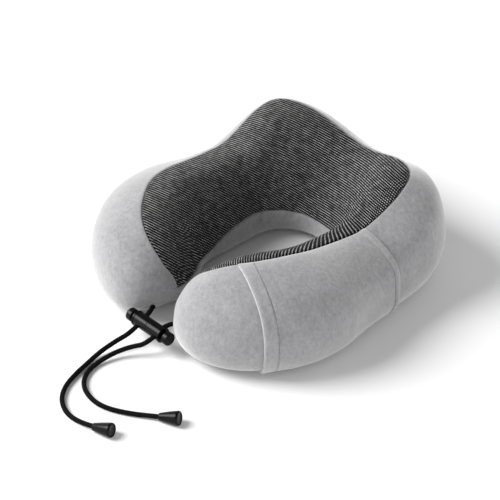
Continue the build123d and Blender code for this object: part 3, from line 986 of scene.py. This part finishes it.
def pocket_layer(
    name, rear, front, lift, material, slot, columns, node, edge_roll, thickness=1.1, edge_bulge=0.0
):
    """A layer of the pocket between two edges, each a function from share to path length."""
    shares = np.linspace(0.0, 1.0, 78)
    near, far = rear(shares), front(shares)
    width = np.linspace(0, 1, columns)
    length = np.abs(far - near).mean()
    edge = np.array([0, 0.3, 0.7, 1.2, 1.9])  # closer rows along both edges, in mm from them
    width = width[(width > POCKET_CLEAR / length) & (width < 1 - POCKET_CLEAR / length)]
    fine = np.concatenate([edge / length, width, 1 - edge[::-1] / length])
    s = near[None] + (far - near)[None] * fine[:, None]
    start, end = base_seam_outer(s), crest_seam(s)
    t = start + (end - start) * shares[None]
    to_base = lengths_along(surface(s, t))
    to_crest = to_base[:, -1:] - to_base
    points = panel_points(s, t, to_base, to_crest, **OUTER)
    to_rear, to_front = fine[:, None] * length, (1 - fine[:, None]) * length
    drop = 0
    for amount, distance in zip(edge_roll, (to_rear, to_front)):
        drop = drop + amount * rolled(distance, POCKET_ROLL) / POCKET_ROLL
    bulge = edge_bulge * np.exp(-(((to_front - 2.0) / 2.4) ** 2))
    fade = 1 - 0.75 * np.exp(-((to_crest / 6.0) ** 2)) - 0.6 * np.exp(-((to_base / 5.0) ** 2))
    move = (lift - drop * lift + bulge) * fade
    points = settle(points + surface_normal(s, t) * move[..., None])
    obj = mesh_object(name, points, grid_faces(*s.shape), material)
    dress(add_thickness(obj, thickness), slot, node, fill=0.5)


def front_edge(back_by):
    return lambda share: plane_crossing(FRONT_PLANE, share, 190, 275, back_by)


def rear_edge(ahead_by):
    return lambda share: plane_crossing(REAR_PLANE, share, 95, 160, ahead_by)


pocket_layer(
    "pocket_patch", rear_edge(-5.4), front_edge(12.3), 1.5,
    VELOUR, "velour", 84, "pocket_panel", (0.9, 0.8),
)
pocket_layer(
    "pocket_elastic_band", front_edge(11), front_edge(2.2), 0.55,
    ELASTIC, "elastic", 12, "pocket_elastic", (0.0, 0.0), 0.3,
)
pocket_layer(
    "pocket_hem_mouth", front_edge(12.4), front_edge(0), 1.9,
    HEM, "velour", 16, "pocket_hem_front", (0.8, 1.0), 1.0, 0.9,
)
pocket_layer(
    "pocket_hem_back", rear_edge(-5.5), rear_edge(0), 1.7,
    HEM, "velour", 9, "pocket_hem_rear", (0.85, 0.9), 0.8, 0.3,
)

STITCH, STITCH_GAP, STITCH_RADIUS, STITCH_POINTS = 2.7, 0.9, 0.26, 7
ARM_MIDDLE_X, ARM_MIDDLE_Z = 70.0, 35.0


def stitch_row(name, edge, lift):
    """A row of machine stitches lying in the cloth."""
    shares = np.linspace(0.03, 0.985, 400)
    s = edge(shares)
    start, end = base_seam_outer(s), crest_seam(s)
    t = start + (end - start) * shares
    raised = lift + 0.5 * soft_wave(s, t)
    line, at = evenly(surface(s, t) + surface_normal(s, t) * raised[:, None], 0.3)
    outward = line - np.array([ARM_MIDDLE_X, line[:, 1].mean(), ARM_MIDDLE_Z])
    outward /= np.linalg.norm(outward, axis=1)[:, None]
    arch = np.sin(np.linspace(0, np.pi, STITCH_POINTS)) ** 0.5 * 0.45 - 0.4
    paths = []
    place = 0.0
    while place + STITCH < at[-1]:
        inside = np.linspace(place, place + STITCH, STITCH_POINTS)
        path = np.stack([np.interp(inside, at, line[:, k]) for k in range(3)], 1)
        out = np.stack([np.interp(inside, at, outward[:, k]) for k in range(3)], 1)
        paths.append(path + out * arch[:, None])
        place += STITCH + STITCH_GAP
    dress(tubes(name, paths, STITCH_RADIUS, THREAD), "velour")


stitch_row("stitches_mouth", front_edge(12.35), 1.0)
stitch_row("stitches_back", rear_edge(-5.45), 0.9)

# ---------------------------------------------------------------- zip
TAPE_INNER, TAPE_OUTER, TAPE_THICKNESS = 0.5, 5.4, 0.5  # the first two from the zip's middle
COIL_PITCH, COIL_HALF, COIL_WIRE = 1.25, 59.5, 0.27

for name, side in (("upper", 1), ("lower", -1)):
    arcs = np.linspace(-ZIP_HALF, ZIP_HALF, 131)
    heights = ZIP_Z + side * np.linspace(TAPE_INNER, TAPE_OUTER, 9)
    a, z = np.meshgrid(arcs / ZIP_RADIUS, heights, indexing="ij")
    ridge = ZIP_RADIUS + 0.05 * np.cos(z * 5)
    points = np.stack([np.sin(a) * ridge, np.cos(a) * ridge + ZIP_CENTRE_Y, z], -1)
    tape = mesh_object(f"zip_tape_{name}", points, grid_faces(*a.shape), TAPE)
    dress(add_thickness(tape, TAPE_THICKNESS, -side), "zip_tape", f"zipper_tape_{name}")
    turns = 2 * COIL_HALF / COIL_PITCH
    k = np.linspace(0, turns, int(turns * 12))
    shift = 0.5 * COIL_PITCH if side < 0 else 0
    arc = (-COIL_HALF + k * COIL_PITCH + shift) / ZIP_RADIUS
    swing = 2 * np.pi * k
    reach = ZIP_RADIUS + 0.95 + 0.62 * np.sin(swing)
    z = ZIP_Z + side * (0.78 - 0.98 * np.cos(swing))
    coil = np.stack([np.sin(arc) * reach, np.cos(arc) * reach + ZIP_CENTRE_Y, z], -1)
    dress(tubes(f"zip_coil_{name}", [coil], COIL_WIRE, ZIP_COIL), "zip_coil", f"zipper_coil_{name}")


def paint(names, material):
    for name in names:
        data = NODES[name].data
        data.materials.clear()
        data.materials.append(material)


paint(
    ["lock_housing_left", "lock_housing_right", "lock_button_left", "lock_button_right"], PLASTIC
)
paint(["lock_spring"], STEEL)
paint(["zipper_stop_left", "zipper_stop_right", "zipper_slider", "zipper_pull"], ZIP_METAL)

# ---------------------------------------------------------------- floor and light
floor_mat, _, floor_shader = new_material("floor_white", Roughness=0.9)
floor_shader.inputs["Specular IOR Level"].default_value = 0.1
floor_shader.inputs["Base Color"].default_value = grey(0.9)
FLOOR_HALF, FLOOR_Z = 6000, -0.3
floor = mesh_object(
    "floor",
    [(x * FLOOR_HALF, y * FLOOR_HALF, FLOOR_Z) for x, y in ((-1, -1), (1, -1), (1, 1), (-1, 1))],
    [(0, 1, 2, 3)],
    floor_mat,
)

SKY_STRENGTH = 2.1
KEY_SIZE, KEY_POWER = 1.8, 105  # metres and watts
world = bpy.data.worlds.new("studio")
world.use_nodes = True
sky = world.node_tree
direction = sky.nodes.new("ShaderNodeTexCoord")
upward = sky.nodes.new("ShaderNodeSeparateXYZ")
sky.links.new(direction.outputs["Generated"], upward.inputs[0])
glow = ramp(sky, upward.outputs[2], [(0.0, grey(1.0)), (0.35, grey(0.62)), (0.8, grey(0.06))])
sky.links.new(glow, sky.nodes["Background"].inputs["Color"])
sky.nodes["Background"].inputs["Strength"].default_value = SKY_STRENGTH
bpy.context.scene.world = world


def area_light(name, place, target, size, power):
    light = bpy.data.lights.new(name, "AREA")
    light.shape = "DISK"
    light.size = size
    light.energy = power
    obj = link(bpy.data.objects.new(name, light))
    obj.location = place
    obj.rotation_euler = (Vector(target) - Vector(place)).to_track_quat("-Z", "Y").to_euler()


area_light("key", (-1.45, -1.45, 1.9), CAMERA_TARGET, KEY_SIZE, KEY_POWER)
bpy.context.scene.view_settings.view_transform = "Standard"
